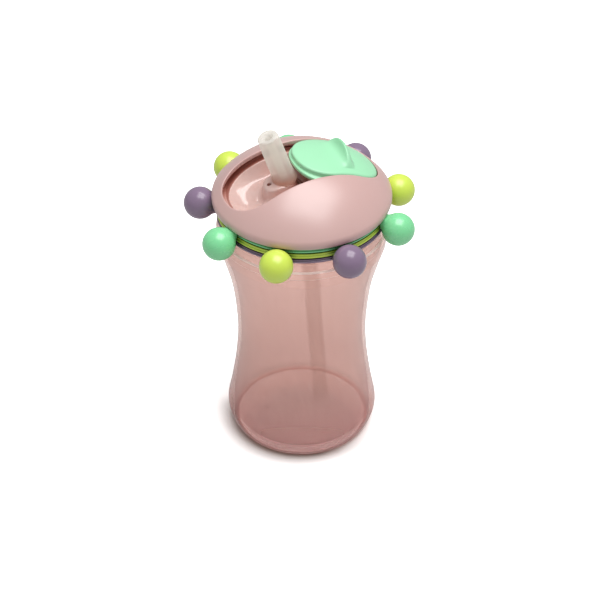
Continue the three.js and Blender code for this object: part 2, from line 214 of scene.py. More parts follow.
def circle(radius, z, steps=ROUND_STEPS, start=0.0):
    """A ring of points about Z, or one point where the radius is nothing."""
    if radius < 1e-6:
        return [(0.0, 0.0, z)]
    turns = [start + 2 * math.pi * i / steps for i in range(steps)]
    return [(radius * math.cos(a), radius * math.sin(a), z) for a in turns]


def flat(ring):
    """The plan of a ring of points, as vectors."""
    return [Vector(p[:2]) for p in ring]


def skin(name, rings, closed=False, place=None):
    """A mesh through rings of points. A ring of one point closes an end."""
    points, starts, faces = [], [], []
    for ring in rings:
        starts.append(len(points))
        points += [Vector(p) for p in ring]
    links = [(i, i + 1) for i in range(len(rings) - 1)]
    if closed:
        links.append((len(rings) - 1, 0))
    for a, b in links:
        count = max(len(rings[a]), len(rings[b]))
        for i in range(count):
            j = (i + 1) % count
            low = [starts[a] + i, starts[a] + j] if len(rings[a]) > 1 else [starts[a]]
            high = [starts[b] + j, starts[b] + i] if len(rings[b]) > 1 else [starts[b]]
            faces.append(low + high)
    if place is not None:
        points = [place @ p for p in points]
    mesh = bpy.data.meshes.new(name)
    mesh.from_pydata([p * MM for p in points], [], faces)
    shell = bmesh.new()
    shell.from_mesh(mesh)
    bmesh.ops.remove_doubles(shell, verts=shell.verts, dist=1e-7)
    bmesh.ops.recalc_face_normals(shell, faces=shell.faces)
    shell.to_mesh(mesh)
    shell.free()
    mesh.shade_smooth()
    piece = bpy.data.objects.new(name, mesh)
    bpy.context.scene.collection.objects.link(piece)
    return piece


def turned(name, profile, closed=False, steps=ROUND_STEPS, place=None):
    """A profile of (radius, height) turned about Z."""
    return skin(name, [circle(r, z, steps) for r, z in profile], closed, place)


def combined(piece, others, operation):
    """Joins or cuts a piece with others, which are used up."""
    for other in others:
        change = piece.modifiers.new("combine", "BOOLEAN")
        change.object = other
        change.operation = operation
        change.solver = "EXACT"
    bpy.context.view_layer.update()
    graph = bpy.context.evaluated_depsgraph_get()
    mesh = bpy.data.meshes.new_from_object(piece.evaluated_get(graph))
    piece.modifiers.clear()
    piece.data = mesh
    for other in others:
        bpy.data.objects.remove(other)
    mesh.shade_smooth()
    mesh.set_sharp_from_angle(angle=math.radians(50))


def plan(left, right, grow=0.0):
    """A closed outline along X: two superellipse ends joined by straight sides."""
    def bulge(value):
        return math.copysign(abs(value) ** (2 / 2.25), value)

    points = []
    for (x, length, half), start in ((right, -90), (left, 90)):
        for degrees in range(start, start + 181):
            angle = math.radians(degrees)
            along = (length + grow) * bulge(math.cos(angle))
            points.append(Vector((x + along, (half + grow) * bulge(math.sin(angle)))))
    return points


def around(outline, centre, steps=PLAN_STEPS):
    """Where rays from a centre inside meet a closed outline, at even turns."""
    middle = Vector(centre)
    turns = [(math.atan2((p - middle).y, (p - middle).x), p) for p in outline]
    turns.sort(key=lambda item: item[0])
    full = 2 * math.pi
    turns = [(turns[-1][0] - full, turns[-1][1])] + turns + [(turns[0][0] + full, turns[0][1])]
    found, k = [], 0
    for i in range(steps):
        angle = -math.pi + full * i / steps
        while turns[k + 1][0] < angle:
            k += 1
        (a0, p0), (a1, p1) = turns[k], turns[k + 1]
        share = (angle - a0) / max(a1 - a0, 1e-9)
        found.append(p0.lerp(p1, share))
    return found


def inward(ring):
    """Unit normals pointing into a counterclockwise plan ring."""
    count = len(ring)
    normals = []
    for i in range(count):
        along = ring[(i + 1) % count] - ring[i - 1]
        normals.append(Vector((-along.y, along.x)).normalized())
    return normals


def moved(ring, normals, distance):
    return [p + n * distance for p, n in zip(ring, normals)]


def part_way(first, second, share):
    """A plan ring between two others."""
    return [a.lerp(b, share) for a, b in zip(first, second)]


def raised(ring, height):
    """Plan ring to 3D: height is a number or a function of x and y."""
    return [(p.x, p.y, height(p.x, p.y) if callable(height) else height) for p in ring]


def sphere_height(radius):
    return lambda x, y: CENTRE_Z + math.sqrt(max(radius * radius - x * x - y * y, 0.0))


def quarter(radius, count, first=1, share=1.0):
    """Steps round a rounded edge. The first number of each falls to 0 as the second grows to the radius."""
    turns = [math.pi / 2 * share * k / count for k in range(first, count + 1)]
    return [(radius * (1 - math.sin(a)), radius * (1 - math.cos(a))) for a in turns]


def edge_rings(ring, normals, height, path):
    """Rings along a path of (distance in from the ring, rise over the surface)."""
    rings = []
    for distance, rise in path:
        at = raised(moved(ring, normals, distance), height)
        rings.append([(x, y, z + rise) for x, y, z in at])
    return rings


# ---------------------------------------------------------------- materials

# Sockets of the mix node that take its two colours and give the mixed one.
MIX_FIRST, MIX_SECOND, MIX_RESULT = 6, 7, 2
# How many waves a metre the patterns have, in moulded and in see-through plastic.
MOULDED_WAVES = {"drift": 45, "sheen": 260, "skin": 2600}
CLEAR_WAVES = {"drift": 30, "sheen": 220, "skin": 1800}
SKIN_DEPTH = 0.2
PLASTIC_IOR = 1.45


class Nodes:
    """Short hand for building a node tree."""

    def __init__(self, name):
        self.material = bpy.data.materials.new(name)
        self.material.use_nodes = True
        self.tree = self.material.node_tree
        self.tree.nodes.clear()
        self.output = self.add("ShaderNodeOutputMaterial")

    def add(self, kind, inputs=None, **settings):
        node = self.tree.nodes.new(kind)
        for key, value in settings.items():
            setattr(node, key, value)
        for key, value in (inputs or {}).items():
            if isinstance(value, bpy.types.NodeSocket):
                self.tree.links.new(value, node.inputs[key])
            else:
                node.inputs[key].default_value = value
        return node

    def spot(self):
        """Where a point is on its object, in metres."""
        return self.add("ShaderNodeTexCoord").outputs["Object"]

    def noise(self, waves, detail=2.0):
        inputs = {"Vector": self.spot(), "Scale": waves, "Detail": detail}
        return self.add("ShaderNodeTexNoise", inputs).outputs["Fac"]

    def bump(self, waves, strength):
        inputs = {"Height": self.noise(waves, 2), "Strength": strength, "Distance": SKIN_DEPTH * MM}
        return self.add("ShaderNodeBump", inputs).outputs["Normal"]

    def ramp(self, value, start, end, low=0.0, high=1.0):
        """Runs from low to high as the value runs from start to end, and is held beyond them."""
        inputs = {"Value": value, "From Min": start, "From Max": end, "To Min": low, "To Max": high}
        return self.add("ShaderNodeMapRange", inputs).outputs["Result"]

    def between(self, share, low, high):
        return self.ramp(share, 0.0, 1.0, low, high)

    def open_sky(self, reach, samples):
        """How much of the space within reach, in millimetres, is open."""
        inputs = {"Distance": reach * MM}
        return self.add("ShaderNodeAmbientOcclusion", inputs, samples=samples).outputs["AO"]

    def mixed(self, share, first, second):
        """A colour between two, each of them a colour or a socket."""
        first, second = (c if isinstance(c, bpy.types.NodeSocket) else (*c, 1) for c in (first, second))
        inputs = {"Factor": share, MIX_FIRST: first, MIX_SECOND: second}
        return self.add("ShaderNodeMix", inputs, data_type="RGBA").outputs[MIX_RESULT]

    def calculated(self, operation, first, second):
        return self.add("ShaderNodeMath", {0: first, 1: second}, operation=operation).outputs[0]

    def vector_value(self, operation, first, second):
        return self.add("ShaderNodeVectorMath", {0: first, 1: second}, operation=operation).outputs["Value"]

    def shader_mix(self, share, first, second):
        return self.add("ShaderNodeMixShader", {0: share, 1: first, 2: second}).outputs[0]

    def finish(self, shader):
        self.tree.links.new(shader, self.output.inputs["Surface"])
        return self.material


def shade(colour, share):
    return tuple(c * share for c in colour)


def moulded(name, colour, roughness, grain=0.02, specular=0.5, soft=0.0, glow=0.0, crevice_shade=None):
    """Moulded plastic: faint colour drift, uneven gloss, a fine skin texture and light let through.

    The shade for tight places is a reach in millimetres and a colour: surfaces that lie closer than that to
    others are painted toward it, as painted shade. A glow is painted light, given off in the plastic's
    colour."""
    n = Nodes(name)
    tint = n.mixed(n.noise(MOULDED_WAVES["drift"], 3), shade(colour, 0.955), shade(colour, 1.03))
    # Painted shade where surfaces lie close to others.
    if crevice_shade:
        reach, shade_colour = crevice_shade
        tint = n.mixed(n.ramp(n.open_sky(reach, 6), 0.25, 0.75), shade_colour, tint)
    body = n.add("ShaderNodeBsdfPrincipled", {
        "Base Color": tint,
        "Roughness": n.between(n.noise(MOULDED_WAVES["sheen"], 4), roughness * 0.88, roughness * 1.14),
        "Normal": n.bump(MOULDED_WAVES["skin"], grain),
        "Specular IOR Level": specular,
        "Emission Color": (*colour, 1),
        "Emission Strength": glow,
        "Subsurface Weight": soft,
        "Subsurface Radius": (4.0 * MM, 3.0 * MM, 2.5 * MM),
        "Subsurface Scale": 0.6,
    })
    return n.finish(body.outputs["BSDF"])


def see_through(name, tint, milk, cloud, roughness, edge=0.25, gloss=0.0, glow=0.0, painted_shade=None):
    """Tinted translucent plastic: part clear and tinted, part milky, glossy outside.

    The painted shade is a range of heights and a shade colour, painted strongest low down and fading away
    upward over them. A glow is painted light, given off in the milky colour."""
    n = Nodes(name)
    haze = n.noise(CLEAR_WAVES["drift"], 3)
    clear = n.add("ShaderNodeBsdfTransparent", {"Color": n.mixed(haze, shade(tint, 0.985), tint)})
    milky = n.mixed(haze, shade(milk, 0.96), milk)
    # Painted shade: low down the milky colour is painted darker.
    if painted_shade:
        low, high, shade_colour = painted_shade
        height = n.add("ShaderNodeSeparateXYZ", {0: n.spot()}).outputs["Z"]
        milky = n.mixed(n.ramp(height, low * MM, high * MM), shade_colour, milky)
    body = n.add("ShaderNodeBsdfPrincipled", {
        "Base Color": milky,
        "Emission Color": milky,
        "Emission Strength": glow,
        "Roughness": n.between(n.noise(CLEAR_WAVES["sheen"], 3), roughness * 0.85, roughness * 1.2),
        "Normal": n.bump(CLEAR_WAVES["skin"], 0.01),
    })
    through = n.add("ShaderNodeBsdfTranslucent", {"Color": milky})
    cloudy = n.shader_mix(0.4, body.outputs["BSDF"], through.outputs["BSDF"])
    facing = n.add("ShaderNodeLayerWeight", {"Blend": edge}).outputs["Facing"]
    whole = n.shader_mix(n.between(facing, cloud, min(1.0, cloud + 0.3)), clear.outputs["BSDF"], cloudy)
    if gloss > 0:
        # Only on faces turned to the viewer. A mirror on the far side of a wall would darken it.
        shine = n.add("ShaderNodeBsdfGlossy", {"Color": (1, 1, 1, 1), "Roughness": roughness})
        fresnel = n.add("ShaderNodeFresnel", {"IOR": PLASTIC_IOR}).outputs[0]
        behind = n.add("ShaderNodeNewGeometry").outputs["Backfacing"]
        share = n.calculated("MULTIPLY", fresnel, n.calculated("SUBTRACT", 1.0, behind))
        whole = n.shader_mix(n.between(share, 0.0, gloss), whole, shine.outputs[0])
    return n.finish(whole)


MINT = (0.23, 0.74, 0.35)
LIME = (0.65, 0.82, 0.095)
PURPLE = (0.245, 0.17, 0.262)
PALE_MINT = (0.36, 0.77, 0.47)
DOME_PINK = (0.61, 0.395, 0.37)
# Colour of the dome's inner faces: painted shade, and with their glow painted light come through the wall.
DOME_INSIDE_PAINTED_PINK = (0.50, 0.24, 0.19)
LID_PINK = (0.74, 0.53, 0.485)
WHITE_SILICONE = (0.82, 0.80, 0.77)
# The spout's foot is painted darker and pinker, as painted shade and pink light from the boss. Its other
# copy is painted shade on its upward faces and in its bore.
SILICONE = {"tint": (0.95, 0.93, 0.90), "milk": (0.85, 0.81, 0.75),
            "painted_shade": (142.0, 147.0, (0.58, 0.36, 0.28))}
SILICONE_SHADED_COPY = {"tint": (0.85, 0.83, 0.80), "milk": (0.74, 0.715, 0.67)}
STRAW_CLEAR = {"tint": (0.985, 0.965, 0.955), "milk": (0.84, 0.76, 0.72)}
# The cup is painted darker toward its foot: painted shade, where the light has gone through more of it.
CUP_WALL = {"milk": (0.83, 0.565, 0.50), "painted_shade": (10.0, 42.0, (0.66, 0.33, 0.315))}
# The lighter colour of the painted highlights on the cup's thin edges.
CUP_PAINTED_HIGHLIGHT = (0.95, 0.84, 0.80)

look = {
    "mint": moulded("mint_plastic", MINT, 0.27, specular=0.8, soft=0.08),
    "lime": moulded("lime_plastic", LIME, 0.31, specular=0.8, soft=0.08),
    "purple": moulded("purple_plastic", PURPLE, 0.22, specular=0.6),
    # The hoops are painted darker where other parts lie close: painted shade.
    "mint_hoop": moulded("mint_hoop_plastic", MINT, 0.25, crevice_shade=(4.0, (0.04, 0.15, 0.05))),
    "lime_hoop": moulded("lime_hoop_plastic", LIME, 0.25, crevice_shade=(4.0, (0.10, 0.22, 0.01))),
    "purple_hoop": moulded("purple_hoop_plastic", PURPLE, 0.25, crevice_shade=(4.0, (0.05, 0.035, 0.05))),
    "cover": moulded("mint_cover_plastic", PALE_MINT, 0.36),
    "dome": moulded("satin_pink_plastic", DOME_PINK, 0.31, grain=0.05, specular=0.75, soft=0.05),
    # The dome's inner faces carry painted shade and a painted glow of light come through the wall.
    "dome_inside_painted": moulded("satin_pink_inside_painted", DOME_INSIDE_PAINTED_PINK, 0.6, grain=0.05, soft=0.05, glow=0.24),
    # The inner lid is painted darker where its surfaces lie close together, in the basin and the gaps:
    # painted shade.
    "lid": moulded("glossy_pink_plastic", LID_PINK, 0.14, grain=0.01, specular=0.75, soft=0.1,
                   crevice_shade=(12.0, (0.44, 0.17, 0.13))),
    "seal": moulded("white_silicone", WHITE_SILICONE, 0.6, soft=0.2),
    # The spout's pieces glow a little: painted light.
    "spout": see_through("milky_silicone", **SILICONE, cloud=0.48, roughness=0.5, gloss=0.3, glow=0.32),
    "spout_shaded_copy": see_through("milky_silicone_shaded_copy", **SILICONE_SHADED_COPY, cloud=0.75, roughness=0.5, gloss=0.15,
                             glow=0.24),
    "straw": see_through("straw_plastic", **STRAW_CLEAR, cloud=0.06, roughness=0.5, edge=0.1),
    "cup_outside": see_through("tinted_cup_outside", (0.95, 0.79, 0.75), **CUP_WALL, cloud=0.36,
                               roughness=0.12, gloss=0.8),
    # Painted highlights: the cup's thin edges are lighter and cloudier, and glow.
    "cup_painted_highlight": see_through("tinted_cup_painted_highlight", CUP_PAINTED_HIGHLIGHT, CUP_PAINTED_HIGHLIGHT, cloud=0.72, roughness=0.12, gloss=0.8,
                            glow=0.15),
    "cup_inside": see_through("tinted_cup_inside", (0.98, 0.95, 0.94), **CUP_WALL, cloud=0.12,
                              roughness=0.45, gloss=0.2),
}


def dress(piece, body, node, slot, *materials):
    """Gives a piece its materials and its body, and hides the CAD node it stands for. The slot is not used.
    """
    for material in materials:
        piece.data.materials.append(material)
    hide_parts(node)
    if body:
        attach(piece, body)


# ---------------------------------------------------------------- the cup

def cad_outline(node, low, high):
    """The outer (radius, height) points of a turned CAD node, between two heights."""
    found = {}
    mesh = frame["nodes"][node].data
    for face in mesh.polygons:
        middle = face.center / MM
        outward = Vector((middle.x, middle.y, 0)).normalized()
        if face.normal.dot(outward) < 0.2 or middle.z > high:
            continue
        for index in face.vertices:
            point = mesh.vertices[index].co / MM
            radius = math.hypot(point.x, point.y)
            height = round(point.z, 2)
            found[height] = max(found.get(height, 0), radius)
    return [(radius, height) for height, radius in sorted(found.items()) if low < height <= high]


def foot_groove(z):
    """How deep the groove round the foot is at a height."""
    share = max(0.0, 1 - abs(z - FOOT_GROOVE["z"]) / FOOT_GROOVE["half"])
    return FOOT_GROOVE["depth"] * share ** 0.5


def cup_body():
    outline = cad_outline("cup_body", 0.5, BAND["low"] - 0.6)
    outside = [(r - foot_groove(z), z) for r, z in spline([(FOOT_R + 1.4, 0.25)] + outline, 14)]
    wide_r, wide_z = outside[-1]
    band_low, band_top, neck = BAND["low"], BAND["top"], NECK["radius"]
    shoulder = rounded([
        (wide_r, wide_z, 0),
        (wide_r, band_low - 0.4, 0.4),
        (wide_r + BAND["out"], band_low, 0.4),
        (wide_r + BAND["out"] - 0.05, band_top + 0.1, 0.8),
        (wide_r - 0.7, band_top + 0.3, 0.2),
        (wide_r - 0.9, SHOULDER_Z, 0.9),
        (neck, SHOULDER_Z, 0.6),
        (neck, CUP_TOP, 0.7),
        (NECK["bore"], CUP_TOP, 0.7),
        (NECK["bore"], SHOULDER_Z - 1.5, 2.5),
        (wide_r - WALL - 1.2, SHOULDER_Z - 3.2, 2.0),
    ])
    inner = [(r - WALL, z) for r, z in outline if 12 < z < SHOULDER_Z - 6]
    inside = spline(list(reversed(inner)), 6)
    bottom = rounded([
        (*inner[0], 0),
        (FOOT_R + 2.4, FLOOR + 3.5, 6),
        (FOOT_R - 3, FLOOR, 6),
        (0, FLOOR, 0),
    ], 10)
    profile = [(0, 0), (FOOT_R, 0)] + outside + shoulder[1:] + inside[1:] + bottom[1:]
    piece = turned("cup_shell", profile)
    for face in piece.data.polygons:
        middle = face.center / MM
        outward = Vector((middle.x, middle.y, 0))
        on_floor = face.normal.z > 0.5 and middle.z < SHOULDER_Z - 8
        # Faces at those heights get the painted highlights.
        on_painted_highlight = any(low < middle.z < high for low, high in PAINTED_HIGHLIGHT_HEIGHTS) and outward.length > FOOT_R - 1
        facing_in = face.normal.dot(outward) < 0 or on_floor
        face.material_index = 1 if facing_in else 2 if on_painted_highlight else 0
    dress(piece, "cup", "cup_body", "cup_pink", look["cup_outside"], look["cup_inside"], look["cup_painted_highlight"])


# ---------------------------------------------------------------- the lid's outer dome

def lid_dome():
    radius, fillet, bore = DOME["radius"], DOME["fillet"], DOME["bore"]
    inner_radius = radius - DOME["wall"]
    round_r = DOME["rim"] - fillet
    round_z = CENTRE_Z + math.sqrt((radius - fillet) ** 2 - round_r ** 2)
    crown_angle = math.acos(round_r / (radius - fillet))
    low_angle = math.asin((DOME_BOTTOM - round_z) / fillet)
    slot = around(plan(*SLOT), (0, 0))
    into = inward(slot)

    def hoop(r, z):
        return circle(r, z, PLAN_STEPS, -math.pi)

    def spread(r, height, count, edge, first):
        """Rings over a sphere from the hoop of radius r in to the slot's edge."""
        start, end = flat(hoop(r, 0)), moved(slot, into, -edge)
        return [raised(part_way(start, end, k / count), height) for k in range(first, count + first)]

    rings = [hoop(bore, DOME_BOTTOM + 0.4), hoop(bore + 0.4, DOME_BOTTOM)]
    for k in range(13):
        angle = lerp(low_angle, crown_angle, k / 12)
        rings.append(hoop(round_r + fillet * math.cos(angle), round_z + fillet * math.sin(angle)))
    outer, inner = sphere_height(radius), sphere_height(inner_radius)
    edge, low_edge = DOME["edge"], DOME["low_edge"]
    rings += spread(radius * math.cos(crown_angle), outer, 22, edge, 1)
    rings += edge_rings(slot, into, outer, [(-out, -down) for out, down in quarter(edge, 6)])
    rings += edge_rings(slot, into, inner, [(-down, out) for out, down in quarter(low_edge, 4)])
    rings += reversed(spread(bore - 0.3, inner, 10, low_edge, 0))
    piece = skin("dome_shell", rings, closed=True)
    for face in piece.data.polygons:
        middle = face.center / MM - Vector((0, 0, CENTRE_Z))
        # The inner faces get the copy with painted shade and a painted glow.
        under = middle.length < inner_radius + low_edge and middle.z > DOME_BOTTOM - CENTRE_Z + 2
        face.material_index = 1 if under else 0
    dress(piece, "lid", "lid_dome", "dome_pink", look["dome"], look["dome_inside_painted"])


# ---------------------------------------------------------------- the inner lid

# Plan rings with their points on rays from the middle of the boss.
BASIN_RIM = around(plan(*BASIN["plan"]), BOSS_CENTRE)
BOSS_FOOT = around(plan(*BOSS["plan"]), BOSS_CENTRE)
ROOF_EDGE = around(flat(circle(ROOF["radius"], 0, 720, -math.pi)), BOSS_CENTRE)


def lid_hoop(radius, z):
    return [(p.x * radius / ROOF["radius"], p.y * radius / ROOF["radius"], z) for p in ROOF_EDGE]


def deck_height(x, y):
    """The deck that the cover rides over: a sphere that runs out on the flat roof."""
    deck = sphere_height(DECK["radius"])
    past = math.hypot(x, y) - DECK["end"]
    if past < 0:
        return deck(x, y)
    return lerp(deck(DECK["end"], 0), ROOF["top"], smooth(past / DECK["run_out"]))


def boss_top(x, _y):
    return BOSS["top"] - 0.27 * max(0.0, -13.5 - x) - 0.004 * max(0.0, -6 - x) ** 2


def bowl_rise(t):
    """How far the basin's side has risen at share t of the way out to its rim."""
    return lerp(t * t, (1 - math.sqrt(1 - (0.96 * t) ** 2)) / 0.72, 0.5)


def basin_floor(x, y):
    """The basin's floor on the ray from the boss through a point. It climbs as the ray turns to the side."""
    turn = math.degrees(abs(math.atan2(y - BOSS_CENTRE[1], x - BOSS_CENTRE[0])))
    share = (171 - turn) / 81
    share = min(1.0, (share + math.sqrt(share * share + 0.003)) / 2)
    return BASIN["floor"] + 0.5 + BASIN["climb"] * (1 - (1 - share) ** 1.8)


def lid_underside():
    """The underside of the bowl from its middle out, then the skirt and the edge of the roof."""
    low = BASIN["floor"] - BASIN["wall"]
    deck = sphere_height(DECK["radius"])
    bowl = around(plan(*BASIN["plan"], grow=-2), BOSS_CENTRE)
    middle = Vector(BOSS_CENTRE)
    rings = [[(*middle, low)]]
    for share in (0.3, 0.6, 0.8, 0.9, 1.0):
        ring = [p * min(1.0, UNDER["bowl"] / p.length) for p in (middle.lerp(q, share) for q in bowl)]
        rise = 0.45 * share ** 2.5
        rings.append([(p.x, p.y, low + rise * min(3.5, deck(p.x, p.y) - BASIN["floor"])) for p in ring])
    roof_r, inner, outer, bead = ROOF["radius"], SKIRT["inner"], SKIRT["outer"], SKIRT["bead"]
    seat = UNDER["low"] - 0.05
    skirt = rounded([
        (UNDER["radius"], UNDER["high"], 0),
        (UNDER["radius"], seat, 0.5),
        (inner, seat, 0.5),
        (inner, LID_BOTTOM, 0.4),
        (bead, LID_BOTTOM, 0.2),
        (bead, LID_BOTTOM + 0.5, 0.2),
        (outer, LID_BOTTOM + 0.5, 0.1),
        (outer, ROOF["bottom"], 0.3),
        (roof_r, ROOF["bottom"], 0.3),
        (roof_r, ROOF["top"] - 0.9, 0.4),
        (ROOF["inner"] + 0.5, ROOF["top"], 0.6),
        (ROOF["inner"], ROOF["top"], 0),
    ], 4)
    # The roof's underside is lower beside the basin's left end.
    roof = lid_hoop(*skirt[0])
    rings.append([(x, y, lerp(UNDER["low"], UNDER["high"], smooth((x + 27) / 6))) for x, y, z in roof])
    return rings + [lid_hoop(r, z) for r, z in skirt[1:]]


def lid_deck():
    """The deck, from the roof in to the basin's rounded rim."""
    rim_in = inward(BASIN_RIM)
    edge = BASIN["edge"]
    start, end = flat(lid_hoop(ROOF["inner"], 0)), moved(BASIN_RIM, rim_in, -edge)
    rings = [raised(part_way(start, end, k / 12), deck_height) for k in range(1, 13)]
    path = [(-out, -down) for out, down in quarter(edge, 5, share=0.8)]
    return rings + edge_rings(BASIN_RIM, rim_in, deck_height, path)


def lid_bowl(lip):
    """The bowl, from its rounded lip down to the boss, and up the fillet round the boss's foot."""
    foot_in = inward(BOSS_FOOT)
    toe = moved(BOSS_FOOT, foot_in, -BOSS["fillet"])
    floors = [basin_floor(x, y) for x, y, z in lip]
    rings = []
    count = 34
    for k in range(1, count + 1):
        t = 1 - k / count
        dip = BASIN["moat"] * math.sin(math.pi * t)
        plan_ring = part_way(toe, flat(lip), t)
        rings.append([(p.x, p.y, low + (z - low) * bowl_rise(t) - dip)
                      for p, low, (x, y, z) in zip(plan_ring, floors, lip)])
    for out, up in quarter(BOSS["fillet"], 8, share=0.93):
        rings.append([(p.x, p.y, low + up) for p, low in zip(moved(BOSS_FOOT, foot_in, -out), floors)])
    return rings


def lid_boss():
    """The boss's rounded edge and its top, in to its middle."""
    middle = Vector(BOSS_CENTRE)
    path = [(BOSS["draft"] + down, -out) for out, down in quarter(BOSS["edge"], 7, first=0)]
    rings = edge_rings(BOSS_FOOT, inward(BOSS_FOOT), boss_top, path)
    last = flat(rings[-1])
    rings += [raised([p.lerp(middle, k / 10) for p in last], boss_top) for k in range(1, 10)]
    return rings + [raised([middle], boss_top)]


def lid_base():
    rings = lid_underside() + lid_deck()
    rings += lid_bowl(rings[-1])
    rings += lid_boss()
    piece = skin("inner_lid", rings)
    # The vent is turned a little, so that none of its faces lies on an edge of the lid.
    place = Matrix.Translation((VENT["x"], VENT["y"], 0)) @ Matrix.Rotation(VENT["turn"], 4, "Z")
    radius, bottom, top = VENT["radius"], VENT["bottom"], VENT["top"]
    profile = [(0, bottom), (radius, bottom), (radius, top)]
    profile += [(radius + 0.25, top + 0.5), (radius + 0.8, top + 1.5), (0, top + 1.5)]
    combined(piece, [turned("vent_cut", profile, steps=32, place=place)], "DIFFERENCE")
    dress(piece, "lid", "lid_base", "lid_pink", look["lid"])


# ---------------------------------------------------------------- the sliding cover

def ridge(x, y):
    """Height of the thumb ridge over the cover: a crescent wave, steep on its +X side."""
    half, crown = RIDGE["half_length"], RIDGE["crown"]
    if abs(y) >= half:
        return 0.0
    swell = RIDGE["height"] * (1 - (y / half) ** 2) ** RIDGE["fullness"]
    past = x - (RIDGE["x"] - RIDGE["bow"] * y * y)
    if abs(past) < crown:
        return swell * (1 - RIDGE["dip"] * (past / crown) ** 2)
    swell *= 1 - RIDGE["dip"]
    if past < 0:
        return swell * max(0.0, 1 + (past + crown) / RIDGE["ramp"]) ** RIDGE["ramp_power"]
    return swell * (1 - smooth((past - crown) / RIDGE["face"]))


def cover_top(x, y):
    return sphere_height(COVER_RADII["outer"])(x, y) + ridge(x, y)


def slide_cover():
    plate = around(plan(*COVER), COVER_CENTRE)
    flange = around(plan(*FLANGE), COVER_CENTRE)
    plate_in, flange_in = inward(plate), inward(flange)
    middle = Vector(COVER_CENTRE)
    centre, inner = COVER_RADII["middle"], COVER_RADII["inner"]
    # The top and its rounded edge, from the middle out.
    start = moved(plate, plate_in, COVER_EDGE)
    count = 60
    rings = [raised([middle], cover_top)]
    rings += [raised([middle.lerp(p, k / count) for p in start], cover_top) for k in range(1, count + 1)]
    rings += edge_rings(plate, plate_in, cover_top, [(out, -down) for out, down in quarter(COVER_EDGE, 6)])
    rings.append(raised(moved(plate, plate_in, 0.25), sphere_height(centre + 0.25)))
    rings.append(raised(plate, sphere_height(centre)))
    # The flange, round its lip and in along its underside.
    lip = quarter(FLANGE_LIP, 3, first=0)
    rings += edge_rings(flange, flange_in, sphere_height(centre), [(out, -down) for out, down in lip])
    rings += edge_rings(flange, flange_in, sphere_height(inner), [(out, down) for out, down in lip[-2::-1]])
    wide = FLANGE_WIDTH
    for into, radius in ((wide - 0.4, inner), (wide, inner + 0.4), (wide, centre - 0.5)):
        rings.append(raised(moved(flange, flange_in, into), sphere_height(radius)))
    # The plate's underside, in to the middle.
    last = flat(rings[-1])
    rings += [raised([p.lerp(middle, k / 8) for p in last], sphere_height(centre - 0.2)) for k in range(8)]
    rings.append([(*middle, CENTRE_Z + centre - 2)])
    dress(skin("cover_plate", rings), "cover", "slide_cover", "mint", look["cover"])


# ---------------------------------------------------------------- spout, straw, valve and seal

def dense(profile, step):
    """A profile with enough points along its height to bend smoothly."""
    points = []
    for (r0, z0), (r1, z1) in zip(profile, profile[1:]):
        parts = max(1, int(abs(z1 - z0) / step))
        points += [(lerp(r0, r1, k / parts), lerp(z0, z1, k / parts)) for k in range(parts)]
    return points + [profile[-1]]


def straw_spout():
    base = Vector(SPOUT["base"])
    radius, bore, collar, length = SPOUT["radius"], SPOUT["bore"], SPOUT["collar"], SPOUT["length"]
    place = Matrix.Translation(base) @ Matrix.Rotation(math.radians(SPOUT["lean"]), 4, "Y")
    profile = rounded([
        (0, -1.2, 0),
        (radius, -1.2, 0),
        (collar, 0.3, 0.5),
        (collar - 0.35, 1.6, 1.2),
        (radius + 0.05, 6, 6),
        (radius, 16, 10),
        (radius - 0.15, length - 1, 4),
        (radius - 0.4, length, 1.2),
        (bore + 0.8, length - 0.05, 0.6),
        (bore, length - 1.4, 0.8),
        (bore, 1.0, 0),
        (0, 1.0, 0),
    ], 8)
    piece = turned("spout_tube", dense(profile, 0.8), steps=96, place=place)
    axis = place.to_3x3() @ Vector((0, 0, 1))
    for face in piece.data.polygons:
        at = face.center / MM - base
        in_bore = at.cross(axis).length < bore + 0.5 and at.dot(axis) > length - 4
        # Faces turned upward and in the bore's mouth get the darker copy, as painted shade.
        face.material_index = 1 if face.normal.z > 0.6 or in_bore else 0
    dress(piece, None, "straw_spout", "spout_silicone", look["spout"], look["spout_shaded_copy"])
    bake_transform(piece)


def straw_tube():
    low, high = corners("straw_tube")
    steps = 48
    bends = [(SPOUT["base"][0], high.z), *STRAW["bends"], (high.x - 3.6, low.z)]
    line = [Vector(p) for p in spline([(x, 0, z) for x, z in bends], 12)]
    side = Vector((0, 1, 0))

    def tube(radius):
        rings = []
        for i, at in enumerate(line):
            along = (line[min(i + 1, len(line) - 1)] - line[max(i - 1, 0)]).normalized()
            up = along.cross(side)
            rings.append([at + side * x + up * y for x, y, z in circle(radius, 0, steps)])
        return rings

    rings = tube(STRAW["radius"]) + tube(STRAW["bore"])[::-1]
    dress(skin("inner_straw", rings, closed=True), "lid", "straw_tube", "straw_clear", look["straw"])


def vent_valve():
    low, high = corners("vent_valve")
    radius = (high.y - low.y) / 2
    bore = VALVE["bore"]
    bill = high.z - VALVE["head"]

    def oval(across, wide, z):
        return [(x * across, y * wide, z) for x, y, z in circle(1, z, 48)]

    # The inside from the lips up, then the outside down to them again.
    rings = [
        oval(VALVE["slit"], bore, low.z),
        oval(VALVE["slit"], bore, low.z + 0.4),
        oval(bore, bore, bill),
        oval(bore, bore, high.z - 0.3),
        oval(radius - 0.5, radius - 0.5, high.z),
        oval(radius, radius, high.z - 0.4),
        oval(radius, radius, bill),
        oval(VALVE["lips"] + 0.1, radius, low.z + 0.3),
        oval(VALVE["lips"], radius - 0.1, low.z),
    ]
    place = Matrix.Translation(((low.x + high.x) / 2, 0, 0))
    piece = skin("duckbill_valve", rings, closed=True, place=place)
    dress(piece, "lid", "vent_valve", "seal_white", look["seal"])


